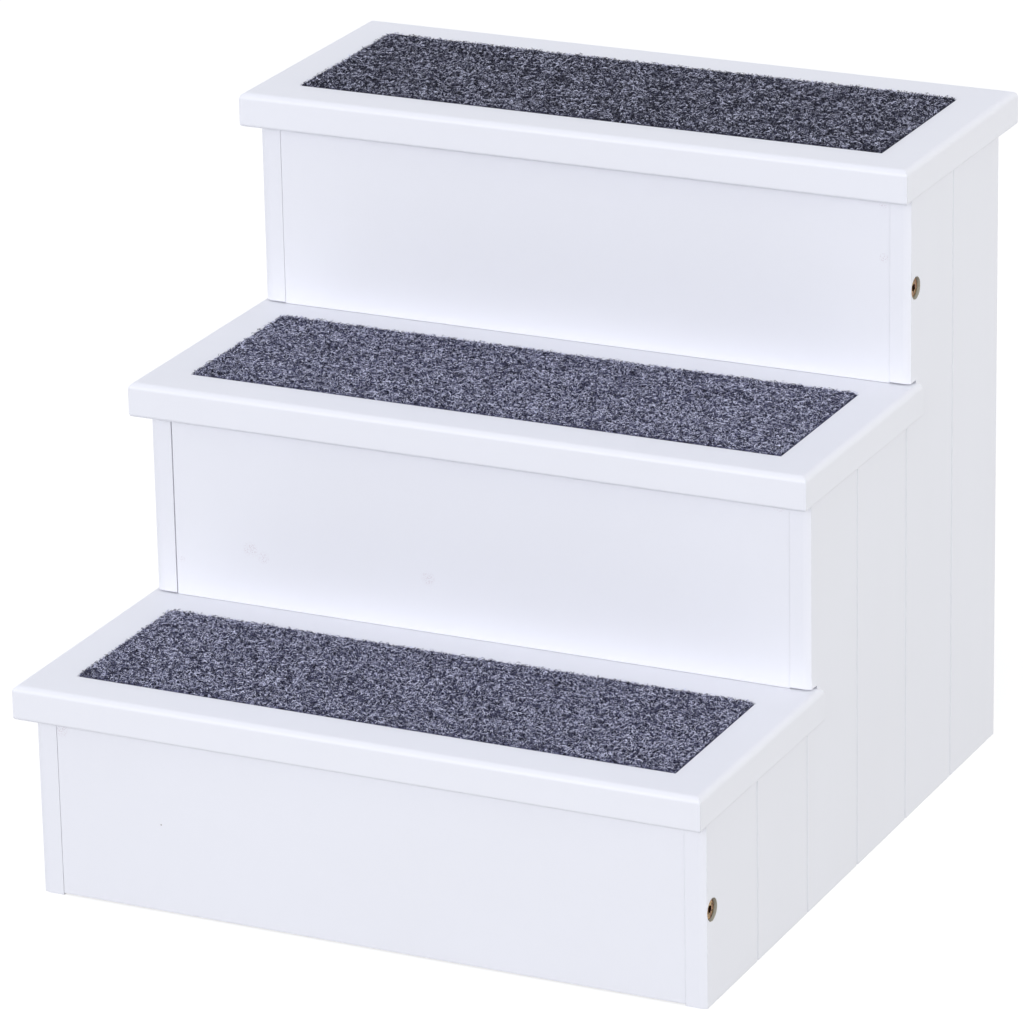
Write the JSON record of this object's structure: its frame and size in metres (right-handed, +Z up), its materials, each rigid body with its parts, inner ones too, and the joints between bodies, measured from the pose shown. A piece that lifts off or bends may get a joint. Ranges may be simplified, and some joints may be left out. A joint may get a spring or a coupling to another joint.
{
  "type": "pet stairs",
  "caption": "White painted pet stairs: stepped sides of V-grooved boards, set-in risers and overhanging rounded treads with inset grey carpet pads.",
  "frame": {"origin": "on the floor, under the middle of the whole outline", "axes": "+X to the right of someone who climbs the stairs, +Y to the back, up the flight, +Z up"},
  "size_m": [0.4, 0.4424, 0.3784],
  "materials": {
    "white_paint": "satin paint",
    "carpet": "short cut pile",
    "yellow_zinc": "yellow zinc plating",
    "plain_zinc": "zinc plating",
    "dowel_wood": "bare beech"
  },
  "bodies": {
    "root": {"left_board_1": "white_paint", "left_board_2": "white_paint", "left_board_3": "white_paint", "left_board_4": "white_paint", "left_board_5": "white_paint", "left_board_6": "white_paint", "right_board_1": "white_paint", "right_board_2": "white_paint", "right_board_3": "white_paint", "right_board_4": "white_paint", "right_board_5": "white_paint", "right_board_6": "white_paint", "lower_riser": "white_paint", "middle_riser": "white_paint", "upper_riser": "white_paint", "lower_tread": "white_paint", "middle_tread": "white_paint", "top_tread": "white_paint", "lower_carpet_pad": "carpet", "middle_carpet_pad": "carpet", "top_carpet_pad": "carpet", "left_lower_batten": "white_paint", "left_middle_batten": "white_paint", "left_upper_batten": "white_paint", "right_lower_batten": "white_paint", "right_middle_batten": "white_paint", "right_upper_batten": "white_paint", "top_back_rail": "white_paint", "bottom_back_rail": "white_paint", "connector_bolts": "yellow_zinc", "barrel_nuts": "plain_zinc", "riser_dowels": "dowel_wood", "rail_dowels": "dowel_wood", "batten_screws": "plain_zinc", "tread_screws": "plain_zinc"}
  },
  "joints": []
}
